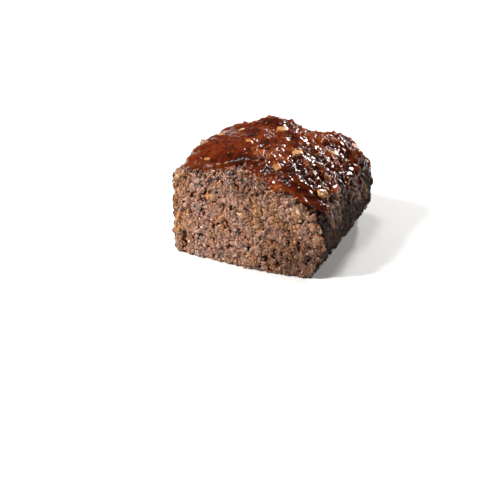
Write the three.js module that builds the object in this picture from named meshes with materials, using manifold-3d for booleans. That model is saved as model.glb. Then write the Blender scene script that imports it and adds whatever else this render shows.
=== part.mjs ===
// A glazed meatloaf with one end cut off, standing on its flat base.
// Millimetres, +Z up. The cut face looks towards -Y and the loaf runs towards +Y.
// Two solids: the meat, and the skin of thick glaze that lies on its top and hangs over its shoulders.

import * as THREE from 'three';
import { ParametricGeometry } from 'three/addons/geometries/ParametricGeometry.js';
import { mergeVertices } from 'three/addons/utils/BufferGeometryUtils.js';
import Module from 'manifold-3d';

const wasm = await Module();
wasm.setup();

// Driving dimensions of the meat
const floorCut = 1.5; // the section is drawn this far under the floor, where the base is then cut flat
const footLeft = 51; // half widths of the flat base
const footRight = 45;
const bellyLeft = 58; // half widths where the sides stand out most
const bellyRight = 57;
const shoulderHeight = 67; // square left shoulder at the cut
const saddleHeight = 62.5; // middle of the top at the cut
const crownHeight = 61; // where the top begins to fall to the right
const straightLength = 88; // the section keeps its size this far
const endDepth = 30; // then it closes in this far to make the far end
const endCentreHeight = 30; // the far end closes on a point this high
const crownRise = 8; // behind the cut the top climbs this much, most of it along a line at crownX
const crownX = 8;
const crownWidth = 48;
const riseLength = 42; // and it has climbed when this far from the cut

// The hand-shaped top swells and sags in places, and the right side swells towards the far end
const swells = [
	{ x: - 52, y: 95, width: 29, height: - 7 },
	{ x: - 16, y: 98, width: 18, height: 4.5 },
	{ x: 12, y: 102, width: 14, height: - 6 },
	{ x: 47, y: 99, width: 15, height: 9 }
];
const swellRight = 1.5;
const swellY = 85;
const swellLength = 32;

// The cut face is a soft upright ridge: both halves fall back from it
const ridgeX = 10;
const ridgeSlope = 0.115;
const ridgeRadius = 14;
const cutMiddle = new THREE.Vector3( 0, 0, 31 );

// How square the far end is: 2 is round, larger is squarer
const endSquareTop = 2.6;
const endSquareLeft = 3.2;
const endSquareRight = 6;
const endSquareBase = 6;
const endSquareRings = 4.5; // for the rings that the far end's grid is made of
const endTurnIn = 1.6; // how late its section begins to close
const endFlatness = 0.57; // less than 1 draws the walls in early and keeps the end face flat

// Sizes and depths of the crags
const crumbSize = 6; // packed crumbs of the cut face
const crumbDepth = 1.4;
const cragSize = 7.5; // baked crust on the sides and the far end
const cragDepth = 1.7;
const cragStretch = 2.2; // on the sides the crags are this much taller than wide
const tearDepth = 2.2; // torn crust of the top just behind the cut
const tearLength = 16;
const sidesEndHeight = 45; // the sides' crags change to those of the top above this height
const topStartHeight = 57;

// Driving dimensions of the glaze
const glazeGap = 0.45; // clearance to the smooth skin of the meat
const glazeBed = 0.45; // the meat lies this much below its smooth skin under the glaze
const glazeMargin = 4; // and this far round the glaze
const glazeThickness = 2.2;
const glazeRim = 0.9; // thickness of its blunt edge
const glazeRimWidth = 5; // it reaches its full thickness this far in
const glazeLumpSize = 8;
const glazeLumpHeight = 2;
const glazeWide = 135; // size of the skin of glaze laid out flat
const glazeLong = 125;

// Dice of onion and pepper, half sunk in the glaze: place across and along it, size and turn
const dieFlatness = 0.42; // height of a die for its size
const dieSink = 0.5; // glaze left under a die
const dice = [
	{ p: 0.69, q: 0.35, size: 8, turn: 0.4 },
	{ p: 0.79, q: 0.52, size: 7.5, turn: 1.1 },
	{ p: 0.59, q: 0.14, size: 7, turn: 2.2 },
	{ p: 0.46, q: 0.52, size: 8, turn: 0.2 },
	{ p: 0.86, q: 0.15, size: 9, turn: 0.7 },
	{ p: 0.94, q: 0.3, size: 9, turn: 1.5 },
	{ p: 0.17, q: 0.09, size: 4, turn: 0.4 },
	{ p: 0.38, q: 0.28, size: 5.5, turn: 2.6 },
	{ p: 0.46, q: 0.16, size: 6, turn: 1.9 },
	{ p: 0.12, q: 0.45, size: 6, turn: 0.5 },
	{ p: 0.09, q: 0.7, size: 6, turn: 1.3 },
	{ p: 0.3, q: 0.85, size: 6.5, turn: 2.9 },
	{ p: 0.62, q: 0.86, size: 6, turn: 0.3 },
	{ p: 0.89, q: 0.74, size: 6, turn: 2.1 },
	{ p: 0.24, q: 0.6, size: 5.5, turn: 1.7 }
];

// Grid of the meat, and where its four long edges run round the section
const columnsAcross = 36;
const columnsUp = 20;
const rowsAlong = 28;
const leftCorner = 0.29;
const rightCorner = 0.72;

// Grid of the glaze
const glazeColumns = 34;
const glazeRows = 34;

// Shares of the run from the cut to the tip: where the section begins to close in, and where the walls
// of the meat's grid end and the far end's face begins
const straightShare = 0.587;
const wallShare = 0.84;
const tipShare = 0.05; // the last of the run, where the far end is taken as flat

// Seeds of the crags
const crustSeed = 11;
const crumbSeed = 31;
const glazeSeed = 53;

const smooth = ( t ) => t * t * ( 3 - 2 * t );
const clamp = THREE.MathUtils.clamp;
const mix = THREE.MathUtils.lerp;
const almostOne = 0.9999;
const straightBack = new THREE.Vector3( 0, 1, 0 );
const hump = ( t, middle, width ) => Math.exp( - ( ( ( t - middle ) / width ) ** 2 ) );

// Repeatable random number from 0 to 1 for a lattice cell
function cellRandom( i, j, k, salt ) {

	let h = Math.imul( i, 374761393 ) + Math.imul( j, 668265263 );
	h += Math.imul( k, 2147483647 ) + Math.imul( salt, 974634777 );
	h = Math.imul( h ^ ( h >>> 13 ), 1274126177 );
	h = Math.imul( h ^ ( h >>> 16 ), 2246822519 );
	return ( ( h ^ ( h >>> 15 ) ) >>> 0 ) / 4294967296;

}

// Rounded lumps, one in each lattice cell: 1 at a lump's centre, falling to 0 between lumps
function lumps( point, size, salt ) {

	const px = point.x / size;
	const py = point.y / size;
	const pz = point.z / size;
	let nearest = 1;

	for ( let i = - 1; i <= 1; i ++ ) {

		for ( let j = - 1; j <= 1; j ++ ) {

			for ( let k = - 1; k <= 1; k ++ ) {

				const cx = Math.floor( px ) + i;
				const cy = Math.floor( py ) + j;
				const cz = Math.floor( pz ) + k;
				const dx = cx + cellRandom( cx, cy, cz, salt ) - px;
				const dy = cy + cellRandom( cx, cy, cz, salt + 1 ) - py;
				const dz = cz + cellRandom( cx, cy, cz, salt + 2 ) - pz;
				nearest = Math.min( nearest, dx * dx + dy * dy + dz * dz );

			}

		}

	}

	return 1 - nearest;

}

// Lumps of two sizes added up, about -1 to 1
function crags( point, size, salt ) {

	const average = 0.72;
	const large = lumps( point, size, salt ) - average;
	const small = lumps( point, 0.5 * size, salt + 7 ) - average;
	return 1.4 * large + 0.9 * small;

}

// Section of the loaf at the cut, from the left foot over the top to the right foot
function crustOutline() {

	const outline = new THREE.Path();
	outline.moveTo( - footLeft, - floorCut );
	outline.quadraticCurveTo( 1 - bellyLeft, - 1, 0.5 - bellyLeft, 9 );
	outline.bezierCurveTo( - 0.8 - bellyLeft, 28, - 0.8 - bellyLeft, 42, 0.7 - bellyLeft, 56 );
	outline.quadraticCurveTo( 2 - bellyLeft, shoulderHeight, 14 - bellyLeft, shoulderHeight - 0.5 );
	outline.bezierCurveTo( - 22, saddleHeight, 6, saddleHeight, 26, crownHeight );
	outline.bezierCurveTo( 40, crownHeight - 3, bellyRight - 3, 45, bellyRight, 34 );
	outline.bezierCurveTo( bellyRight + 0.5, 22, bellyRight - 4, 9, bellyRight - 8, 4 );
	outline.quadraticCurveTo( footRight + 2, 0.5, footRight, - floorCut );
	return outline;

}

const outline = crustOutline();

// Place of the cut face at a given x
function cutY( x ) {

	return ridgeSlope * ( Math.hypot( x - ridgeX, ridgeRadius ) - ridgeRadius );

}

// Size of the section at a share t of the far end's depth: 1 at its start, 0 at the tip
function closing( t, squareness ) {

	return ( 1 - t ** squareness ) ** ( 1 / squareness );

}

// Share of the far end's depth that is reached at a place along the run
function endTurn( run ) {

	const turn = Math.min( 1, ( run - straightShare ) / ( 1 - straightShare ) );
	return Math.sin( 0.5 * Math.PI * turn ** endTurnIn ) ** endFlatness;

}

// Place along the run of a ring of the far end's grid: share is 0 at the tip and 1 where the walls end.
// The rings are spread evenly, so the function undoes closing and then endTurn.
function ringRun( share ) {

	const size = share * closing( endTurn( wallShare ), endSquareRings );
	const t = closing( size, endSquareRings );
	const turn = ( Math.asin( t ** ( 1 / endFlatness ) ) / ( 0.5 * Math.PI ) ) ** ( 1 / endTurnIn );
	return mix( straightShare, 1, turn );

}

// Height that the hand-shaped top gains or loses at a point
function unevenness( point ) {

	let height = 0;

	for ( const swell of swells ) {

		height += swell.height * hump( point.x, swell.x, swell.width ) * hump( point.y, swell.y, swell.width );

	}

	return height;

}

// The smooth skin of the meat. around: 0 left foot, 1 right foot. run: 0 at the cut, 1 at the tip.
function skinPoint( around, run, target ) {

	const flat = outline.getPoint( clamp( around, 0, 1 ) );

	if ( run <= straightShare ) {

		target.set( flat.x, mix( cutY( flat.x ), straightLength, run / straightShare ), flat.y );

	} else {

		const t = endTurn( run );
		const sideways = closing( t, flat.x < 0 ? endSquareLeft : endSquareRight );
		const upright = closing( t, flat.y > endCentreHeight ? endSquareTop : endSquareBase );
		target.set(
			flat.x * sideways,
			straightLength + endDepth * t,
			endCentreHeight + ( flat.y - endCentreHeight ) * upright );

	}

	const climb = smooth( clamp( target.y / riseLength, 0, 1 ) );
	const highUp = clamp( target.z / saddleHeight, 0, 1.1 ) ** 3;
	const rise = crownRise * climb * hump( target.x, crownX, crownWidth );
	target.z += highUp * ( rise + unevenness( target ) );
	target.x += swellRight * hump( target.y, swellY, swellLength ) * clamp( target.x / bellyRight, 0, 1 );
	return target;

}

// Outward normal of the smooth skin, from two short steps along it. It turns straight back close to the
// tip, where all ways around the section meet.
function skinNormal( around, run, target ) {

	const step = 0.004;
	const middle = Math.min( run, 1 - 2 * step );
	const a = skinPoint( around - step, middle, new THREE.Vector3() );
	const b = skinPoint( around + step, middle, new THREE.Vector3() );
	const c = skinPoint( around, Math.max( 0, middle - step ), new THREE.Vector3() );
	const d = skinPoint( around, middle + step, new THREE.Vector3() );
	target.crossVectors( b.sub( a ), d.sub( c ) ).normalize();
	return target.lerp( straightBack, clamp( 1 - ( 1 - run ) / tipShare, 0, 1 ) ).normalize();

}

// Edges of the glaze, as shares of the way around and of the run. Each is a plain line with slow waves,
// drawn in at the corners so that they are round.
const corner = ( t ) => ( 2 * t - 1 ) ** 8;

const glazeEdge = {
	left: ( q ) => 0.262 + glazeWaves( q, 17, 0.4, 41, 0 ) + 0.03 * corner( q ),
	right: ( q ) => 0.805 - glazeWaves( q, 15, 2.6, 37, 1 ) - 0.04 * corner( q ),
	front: ( p ) => 0.03 + 0.125 * hump( p, 0.42, 0.13 ) + frontWaves( p ) + 0.015 * corner( p ),
	back: ( p ) => 0.905 + glazeWaves( p, 16, 1, 39, 0 ) - 0.07 * corner( p )
};

function frontWaves( p ) {

	return 0.01 * Math.sin( 30 * p + 2.6 );

}

// A slow wave and a quick one along an edge of the glaze
function glazeWaves( t, slow, slowStart, quick, quickStart ) {

	return 0.02 * Math.sin( slow * t + slowStart ) + 0.012 * Math.sin( quick * t + quickStart );

}

// Where a grid place on the glaze lies on the meat. p: 0 left edge, 1 right. q: 0 front edge, 1 back.
function glazePlace( p, q ) {

	return {
		around: mix( glazeEdge.left( q ), glazeEdge.right( q ), p ),
		run: mix( glazeEdge.front( p ), glazeEdge.back( p ), q )
	};

}

// Distance from a grid place to the glaze's edge, negative outside it
function inFromEdge( p, q ) {

	return Math.min( p * glazeWide, ( 1 - p ) * glazeWide, q * glazeLong, ( 1 - q ) * glazeLong );

}

// Distance from a place on the meat to the glaze's edge, positive under the glaze. The grid place there
// is found by turns: q fixes the side edges, and p the front and back ones.
function glazeCover( around, run ) {

	let p = 0.5;
	let q = 0.5;

	for ( let pass = 0; pass < 4; pass ++ ) {

		const left = glazeEdge.left( clamp( q, 0, 1 ) );
		const front = glazeEdge.front( clamp( p, 0, 1 ) );
		p = ( around - left ) / ( glazeEdge.right( clamp( q, 0, 1 ) ) - left );
		q = ( run - front ) / ( glazeEdge.back( clamp( p, 0, 1 ) ) - front );

	}

	return inFromEdge( p, q );

}

// Share of the change from the crags of the sides to those of the top
function topShare( z ) {

	return clamp( ( z - sidesEndHeight ) / ( topStartHeight - sidesEndHeight ), 0, 1 );

}

// Height that the crags are looked up at. On the sides it grows more slowly, so they are taller there.
function cragHeight( z ) {

	const changeHeight = 0.5 * ( topStartHeight - sidesEndHeight ) * topShare( z ) ** 2;
	const aboveChange = Math.max( 0, z - topStartHeight );
	return z / cragStretch + ( 1 - 1 / cragStretch ) * ( changeHeight + aboveChange );

}

// Height of the crust's crags over the smooth skin. Under the glaze and close round it they only go down.
function crustRelief( point, around, run ) {

	const nearCut = 1 - clamp( point.y / tearLength, 0, 1 );
	const depth = mix( cragDepth, tearDepth, nearCut * topShare( point.z ) );
	const stretched = new THREE.Vector3( point.x, point.y, cragHeight( point.z ) );
	const height = depth * crags( stretched, cragSize, crustSeed );
	const covered = glazeCover( around, run ) > - glazeMargin;
	return covered ? Math.min( 0, height ) - glazeBed : height;

}

// The crust with its crags
function crustPoint( around, run, target ) {

	skinPoint( around, run, target );
	const height = crustRelief( target, around, run );
	return target.addScaledVector( skinNormal( around, run, new THREE.Vector3() ), height );

}

// The crust of the far end between the two feet, where no way around the section leads
function farFootPoint( across, run, target ) {

	const normal = skinNormal( 0, run, new THREE.Vector3() );
	normal.lerp( skinNormal( 1, run, new THREE.Vector3() ), across ).normalize();
	skinPoint( 0, run, target ).lerp( skinPoint( 1, run, new THREE.Vector3() ), across );
	return target.addScaledVector( normal, crustRelief( target, 0, run ) );

}

// Moves a point from the rim of the cut face towards its middle, where share is 0, and adds its crumbs
function cutPoint( share, target ) {

	target.lerp( cutMiddle, 1 - share );
	const depth = share < 1 ? crumbDepth : 0.4 * crumbDepth;
	target.y = cutY( target.x ) - depth * crags( target, crumbSize, crumbSeed );
	return target;

}

// Merges the shared corners of a closed surface and drops the triangles that have collapsed
function closedBody( surface ) {

	surface.deleteAttribute( 'normal' );
	surface.deleteAttribute( 'uv' );
	const merged = mergeVertices( surface, 1e-3 );
	const corners = Array.from( merged.index.array );
	const kept = [];

	for ( let i = 0; i < corners.length; i += 3 ) {

		const [ a, b, c ] = corners.slice( i, i + 3 );
		if ( a !== b && b !== c && c !== a ) kept.push( a, b, c );

	}

	merged.setIndex( kept );
	return merged;

}

// Share of the way around the section at a corner of the wrapped box. x and z: -1 to 1, one of them at
// an end. The base is not on the way around: there x runs between the two feet.
function aroundSection( x, z ) {

	const up = 0.5 * ( 1 + z );
	if ( x < - almostOne ) return leftCorner * up;
	if ( x > almostOne ) return 1 - ( 1 - rightCorner ) * up;
	return mix( leftCorner, rightCorner, 0.5 * ( 1 + x ) );

}

// A box of small squares, wrapped on the meat: its front becomes the cut face, its back the far end,
// and its sides and top the crust. Squares round the middle of an end become rings round its centre.
function meatGeometry() {

	const box = new THREE.BoxGeometry( 2, 2, 2, columnsAcross, rowsAlong, columnsUp );
	const corners = box.attributes.position;
	const place = new THREE.Vector3();
	const target = new THREE.Vector3();
	const foot = new THREE.Vector3();

	for ( let i = 0; i < corners.count; i ++ ) {

		place.fromBufferAttribute( corners, i );
		const onCut = place.y < - almostOne;
		const onFarEnd = place.y > almostOne;
		const share = onCut || onFarEnd ? Math.max( Math.abs( place.x ), Math.abs( place.z ) ) : 1;
		const x = share > 0 ? place.x / share : 0;
		const z = share > 0 ? place.z / share : 1;
		const run = onFarEnd ? ringRun( share ) : 0.5 * ( 1 + place.y ) * wallShare;
		const across = 0.5 * ( 1 + x );
		const betweenFeet = z < - almostOne;
		if ( ! betweenFeet ) crustPoint( aroundSection( x, z ), run, target );
		else if ( onFarEnd ) farFootPoint( across, run, target );
		else crustPoint( 0, run, target ).lerp( crustPoint( 1, run, foot ), across );
		if ( onCut ) cutPoint( share, target );
		corners.setXYZ( i, target.x, target.y, target.z );

	}

	return closedBody( box );

}

// The glaze: an upper sheet with lumps, an under sheet a little off the meat, and a blunt rim between them
function glazeGeometry() {

	const columns = 2 * glazeColumns + 2;
	const rows = glazeRows + 2;
	const normal = new THREE.Vector3();

	function sheetPoint( p, q, upper, target ) {

		const place = glazePlace( p, q );
		const bead = Math.sqrt( 1 - ( 1 - clamp( inFromEdge( p, q ) / glazeRimWidth, 0, 1 ) ) ** 2 );
		skinPoint( place.around, place.run, target );
		const bumps = glazeLumpHeight * clamp( crags( target, glazeLumpSize, glazeSeed ), - 0.5, 1 );
		const height = glazeGap + upper * mix( glazeRim, glazeThickness + bumps, bead );
		return target.addScaledVector( skinNormal( place.around, place.run, normal ), height );

	}

	function glazePoint( u, v, target ) {

		const column = Math.round( u * columns ) % columns;
		const row = Math.round( v * rows );
		const above = column <= glazeColumns;
		const p = above ? column / glazeColumns : ( columns - 1 - column ) / glazeColumns;
		const q = clamp( ( row - 1 ) / glazeRows, 0, 1 );
		const upper = row === 0 || row === rows ? 0.5 : Number( above );
		sheetPoint( p, q, upper, target );

	}

	return closedBody( new ParametricGeometry( glazePoint, columns, rows ) );

}

// One softened cube, flattened so that it stays inside the glaze below and stands proud above
function dieGeometry( die ) {

	const roundness = 0.55; // 0 a cube, 1 a ball
	const ballRadius = 0.62;
	const cube = new THREE.BoxGeometry( 1, 1, 1, 2, 2, 2 );
	const corners = cube.attributes.position;
	const point = new THREE.Vector3();

	for ( let i = 0; i < corners.count; i ++ ) {

		point.fromBufferAttribute( corners, i );
		point.multiplyScalar( mix( 1, ballRadius / point.length(), roundness ) );
		corners.setXYZ( i, point.x, point.y, point.z );

	}

	const height = dieFlatness * die.size;
	const place = glazePlace( die.p, die.q );
	const up = skinNormal( place.around, place.run, new THREE.Vector3() );
	const seat = skinPoint( place.around, place.run, new THREE.Vector3() );
	seat.addScaledVector( up, glazeGap + dieSink + 0.5 * height );
	cube.scale( die.size, 0.75 * die.size, height );
	cube.rotateZ( die.turn );
	cube.applyQuaternion( new THREE.Quaternion().setFromUnitVectors( new THREE.Vector3( 0, 0, 1 ), up ) );
	cube.translate( seat.x, seat.y, seat.z );
	return closedBody( cube );

}

function toSolid( geometry ) {

	return new wasm.Manifold( new wasm.Mesh( {
		numProp: 3,
		vertProperties: new Float32Array( geometry.attributes.position.array ),
		triVerts: new Uint32Array( geometry.index.array )
	} ) );

}

function toMesh( solid, name, material ) {

	const { vertProperties, triVerts } = solid.getMesh();
	const geometry = new THREE.BufferGeometry();
	geometry.setAttribute( 'position', new THREE.BufferAttribute( new Float32Array( vertProperties ), 3 ) );
	geometry.setIndex( Array.from( triVerts ) );
	const mesh = new THREE.Mesh( geometry, material );
	mesh.name = name;
	return mesh;

}

// The meat, cut flat at the floor
function buildLoaf() {

	const groundSize = 300;
	const ground = new THREE.BoxGeometry( groundSize, groundSize, groundSize );
	ground.translate( 0, 0.2 * groundSize, - 0.5 * groundSize );
	const crust = new THREE.MeshStandardMaterial( { color: 0x7a5341, roughness: 0.75, metalness: 0 } );
	return toMesh( toSolid( meatGeometry() ).subtract( toSolid( closedBody( ground ) ) ), 'loaf', crust );

}

// The glaze with its dice fused on
function buildSauce() {

	let solid = toSolid( glazeGeometry() );
	for ( const die of dice ) solid = solid.add( toSolid( dieGeometry( die ) ) );
	const gloss = new THREE.MeshStandardMaterial( { color: 0x6e2410, roughness: 0.2, metalness: 0 } );
	return toMesh( solid, 'sauce', gloss );

}

const meatloaf = new THREE.Group();
meatloaf.add( buildLoaf(), buildSauce() );

// The origin is the middle of the whole outline, on the floor
const bounds = new THREE.Box3().setFromObject( meatloaf );
const middle = bounds.getCenter( new THREE.Vector3() );
meatloaf.position.set( - middle.x, - middle.y, 0 );

export default meatloaf;
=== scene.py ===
import math

import bmesh
import bpy
import numpy as np
from bpy.types import NodeSocket
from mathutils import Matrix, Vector


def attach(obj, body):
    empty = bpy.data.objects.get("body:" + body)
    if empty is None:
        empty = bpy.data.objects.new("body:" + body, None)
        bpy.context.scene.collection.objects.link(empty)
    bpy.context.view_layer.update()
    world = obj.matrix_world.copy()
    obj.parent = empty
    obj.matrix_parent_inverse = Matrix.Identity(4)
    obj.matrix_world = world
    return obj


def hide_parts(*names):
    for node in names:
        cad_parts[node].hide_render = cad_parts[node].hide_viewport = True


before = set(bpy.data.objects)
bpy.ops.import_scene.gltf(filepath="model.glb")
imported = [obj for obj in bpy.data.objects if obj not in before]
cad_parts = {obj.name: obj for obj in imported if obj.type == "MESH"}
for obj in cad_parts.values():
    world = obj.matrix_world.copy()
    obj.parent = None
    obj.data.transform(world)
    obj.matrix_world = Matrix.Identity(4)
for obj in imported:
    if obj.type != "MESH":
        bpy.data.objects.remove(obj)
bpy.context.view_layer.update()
print("frame loaded:", sorted(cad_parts))

# Shapes are worked out in millimetres from the foot of the cut face, with the loaf running towards +Y.
# frameShift brings them to the frame's origin when a mesh is made.
millimetre = 0.001
frameShift = np.array([0.335, -59.075, 0.0])


def smooth(t):
    # 3t^2 - 2t^3 between 0 and 1
    t = np.clip(t, 0, 1)
    return t * t * (3 - 2 * t)


def mix(a, b, t):
    # a (1 - t) + b t
    return a + (b - a) * t


def hump(t, middle, width):
    # e to the power -((t - middle) / width)^2
    return np.exp(-((t - middle) / width) ** 2)


def ease(t, start, width):
    # 0 at start and 1 a width further on, smooth between. A width below 0 turns it round.
    return smooth((t - start) / width)


def nearness(points, centre, reach):
    # 1 at the centre, and falling round it by the distance's hump
    return hump(np.linalg.norm(points - np.array(centre), axis=1), 0, reach)


def unit(vectors):
    return vectors / np.linalg.norm(vectors, axis=-1, keepdims=True)


def cellRandom(cells, salt):
    # A repeatable random number from 0 to 1 for each cube, mixed from its three whole numbers
    i, j, k = (cells[:, axis].astype(np.uint32) for axis in range(3))
    h = i * np.uint32(374761393) + j * np.uint32(668265263)
    h = h + k * np.uint32(2147483647) + np.uint32(salt * 974634777 % 2**32)
    h = (h ^ (h >> np.uint32(13))) * np.uint32(1274126177)
    h = (h ^ (h >> np.uint32(16))) * np.uint32(2246822519)
    return (h ^ (h >> np.uint32(15))) / 2**32


def scattered(points, size, salt):
    # One centre at a random place in each cube. Gives the distances to the nearest centre and to the
    # second nearest, in cubes, and a random number that belongs to the nearest.
    place = points / size
    home = np.floor(place).astype(np.int64)
    nearest = np.full(len(points), 9.0)
    second = nearest.copy()
    own = np.zeros(len(points))
    for offset in np.ndindex(3, 3, 3):
        cell = home + np.array(offset) - 1
        away = [cell[:, axis] + cellRandom(cell, salt + axis) - place[:, axis] for axis in range(3)]
        distance = away[0] ** 2 + away[1] ** 2 + away[2] ** 2
        closer = distance < nearest
        second = np.where(closer, nearest, np.minimum(second, distance))
        own = np.where(closer, cellRandom(cell, salt + 3), own)
        nearest = np.where(closer, distance, nearest)
    return np.sqrt(nearest), np.sqrt(second), own


def waves(points, size, salt):
    # Random numbers from -1 to 1 at the corners of cubes, blended smoothly between them
    place = points / size
    home = np.floor(place).astype(np.int64)
    share = smooth(place - home)
    total = np.zeros(len(points))
    for offset in np.ndindex(2, 2, 2):
        weight = np.prod(np.where(offset, share, 1 - share), axis=1)
        total += weight * cellRandom(home + np.array(offset), salt)
    return 2 * total - 1


def bent(points, size, amount, salt):
    # Each point moved by three independent waves of that size
    move = [waves(points, size, salt + 5 * axis) for axis in range(3)]
    return points + amount * np.stack(move, axis=1)


def crags(points, size, salt):
    # Round lumps of two sizes: 1.4 (0.28 - d^2) + 0.9 (0.28 - e^2), with d and e no more than 1
    large = np.minimum(1, scattered(points, size, salt)[0] ** 2)
    small = np.minimum(1, scattered(points, 0.5 * size, salt + 7)[0] ** 2)
    return 1.4 * (0.28 - large) + 0.9 * (0.28 - small)


loafShape = {
    "floorCut": 1.5,  # the section is drawn to this far below the floor, and cut off at the floor
    "footLeft": 51.0,
    "footRight": 45.0,
    "bellyLeft": 58.0,
    "bellyRight": 57.0,
    "shoulderHeight": 67.0,
    "saddleHeight": 62.5,
    "crownHeight": 61.0,
    "straightLength": 88.0,
    "endDepth": 30.0,
    "endCentreHeight": 30.0,
    "crownRise": 8.0,
    "crownX": 8.0,
    "crownWidth": 48.0,
    "riseLength": 42.0,
    "swells": (  # x, y, width, height
        (-52, 95, 29, -7), (-16, 98, 18, 4.5), (12, 102, 14, -6), (47, 99, 15, 9),
    ),
    "swellRight": 1.5,
    "swellY": 85.0,
    "swellLength": 32.0,
    "ridgeX": 10.0,
    "ridgeSlope": 0.115,
    "ridgeRadius": 14.0,
    "squareTop": 2.6,  # the far end's roundness towards each side: 2 is round, more is squarer
    "squareLeft": 3.2,
    "squareRight": 6.0,
    "squareBase": 6.0,
    "squareRings": 4.5,
    "turnIn": 1.6,
    "flatness": 0.57,
    "straightShare": 0.587,  # run at which the far end begins to close
    "wallShare": 0.84,  # run at which the walls hand over to the rings of the far end
    "tipShare": 0.05,
    "leftCorner": 0.29,  # share of the way around at which the top begins, and at which it ends
    "rightCorner": 0.72,
    "curveSteps": 160,
    "footSteps": 150,  # how many points of the section are surely part of a foot
}


def curveOf(*corners):
    # point(t) = sum of corner i times C(n, i) t^i (1 - t)^(n - i)
    t = np.linspace(0, 1, loafShape["curveSteps"])[:, None]
    n = len(corners) - 1
    shares = [math.comb(n, i) * t**i * (1 - t) ** (n - i) for i in range(n + 1)]
    return sum(share * np.array(corner, float) for share, corner in zip(shares, corners))


def sectionTable():
    # The section at the cut from the left foot over the top to the right foot: share of the way, x, z
    s = loafShape
    left = -s["bellyLeft"]
    right = s["bellyRight"]
    shoulder = s["shoulderHeight"]
    crown = s["crownHeight"]
    saddle = s["saddleHeight"]
    parts = [
        curveOf((-s["footLeft"], -s["floorCut"]), (left + 1, -1), (left + 0.5, 9)),
        curveOf((left + 0.5, 9), (left - 0.8, 28), (left - 0.8, 42), (left + 0.7, 56)),
        curveOf((left + 0.7, 56), (left + 2, shoulder), (left + 14, shoulder - 0.5)),
        curveOf((left + 14, shoulder - 0.5), (-22, saddle), (6, saddle), (26, crown)),
        curveOf((26, crown), (40, crown - 3), (right - 3, 45), (right, 34)),
        curveOf((right, 34), (right + 0.5, 22), (right - 4, 9), (right - 8, 4)),
        curveOf((right - 8, 4), (s["footRight"] + 2, 0.5), (s["footRight"], -s["floorCut"])),
    ]
    points = np.concatenate([parts[0]] + [part[1:] for part in parts[1:]])
    way = np.concatenate([[0], np.cumsum(np.linalg.norm(np.diff(points, axis=0), axis=1))])
    return way / way[-1], points[:, 0], points[:, 1]


sectionShare, sectionX, sectionZ = sectionTable()


def cutY(x):
    # A soft upright ridge: slope (sqrt((x - ridge)^2 + radius^2) - radius)
    s = loafShape
    return s["ridgeSlope"] * (np.hypot(x - s["ridgeX"], s["ridgeRadius"]) - s["ridgeRadius"])


def endTurn(run):
    # How far the far end has closed, 0 to 1: sin(pi/2 turn^turnIn)^flatness
    s = loafShape
    turn = np.clip((run - s["straightShare"]) / (1 - s["straightShare"]), 0, 1)
    return np.sin(0.5 * np.pi * turn ** s["turnIn"]) ** s["flatness"]


def closing(t, squareness):
    # (1 - t^n)^(1/n)
    return np.clip(1 - t**squareness, 0, 1) ** (1 / squareness)


def ringRun(share):
    # Run of a ring of the far end: 0 at the tip, 1 where the walls end. It undoes closing, then endTurn.
    s = loafShape
    size = share * closing(endTurn(s["wallShare"]), s["squareRings"])
    t = closing(size, s["squareRings"])
    turn = (np.arcsin(t ** (1 / s["flatness"])) / (0.5 * np.pi)) ** (1 / s["turnIn"])
    return mix(s["straightShare"], 1, turn)


def skinPoint(around, run):
    # The section carried from the cut along +Y, and closed on a point at the far end. The top climbs
    # behind the cut and swells and sags by Gaussian humps.
    s = loafShape
    flatX = np.interp(around, sectionShare, sectionX)
    flatZ = np.interp(around, sectionShare, sectionZ)
    t = endTurn(run)
    sideways = closing(t, np.where(flatX < 0, s["squareLeft"], s["squareRight"]))
    upright = closing(t, np.where(flatZ > s["endCentreHeight"], s["squareTop"], s["squareBase"]))
    x = flatX * sideways
    y = mix(cutY(flatX), s["straightLength"], np.clip(run / s["straightShare"], 0, 1)) + s["endDepth"] * t
    z = s["endCentreHeight"] + (flatZ - s["endCentreHeight"]) * upright
    highUp = np.clip(z / s["saddleHeight"], 0, 1.1) ** 3
    rise = s["crownRise"] * smooth(y / s["riseLength"]) * hump(x, s["crownX"], s["crownWidth"])
    for middleX, middleY, width, height in s["swells"]:
        rise = rise + height * hump(x, middleX, width) * hump(y, middleY, width)
    z = z + highUp * rise
    x = x + s["swellRight"] * hump(y, s["swellY"], s["swellLength"]) * np.clip(x / s["bellyRight"], 0, 1)
    return np.stack([x, y, z], axis=1)


def skinNormal(around, run):
    # Cross product of two short steps, one around and one along. It turns to +Y close to the tip.
    step = 0.004
    middle = np.minimum(run, 1 - 2 * step)
    across = skinPoint(around + step, middle) - skinPoint(around - step, middle)
    along = skinPoint(around, middle + step) - skinPoint(around, np.maximum(0, middle - step))
    nearTip = np.clip(1 - (1 - run) / loafShape["tipShare"], 0, 1)
    return unit(mix(unit(np.cross(across, along)), np.array([0.0, 1.0, 0.0]), nearTip[:, None]))


def footShare(run, side):
    # Share of the way around at which the skin meets the floor at this run
    s = loafShape
    upright = closing(endTurn(run), s["squareBase"])
    wanted = s["endCentreHeight"] * (1 - 1 / np.maximum(upright, 0.5))
    foot = slice(s["footSteps"]) if side == "left" else slice(None, -s["footSteps"] - 1, -1)
    return np.interp(wanted, sectionZ[foot], sectionShare[foot])


glazeEdges = {
    # place, slow and quick wave (height, pace, start), bulge (height, middle, width), turn at the corners
    "left": (0.262, (0.02, 17, 0.4), (0.012, 41, 0), (0, 0.5, 1), 0.03),
    "right": (0.805, (-0.02, 15, 2.6), (-0.012, 37, 1), (0, 0.5, 1), -0.04),
    "front": (0.03, (0.01, 30, 2.6), (0, 0, 0), (0.125, 0.42, 0.13), 0.015),
    "back": (0.905, (0.02, 16, 1), (0.012, 39, 0), (0, 0.5, 1), -0.07),
}


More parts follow.
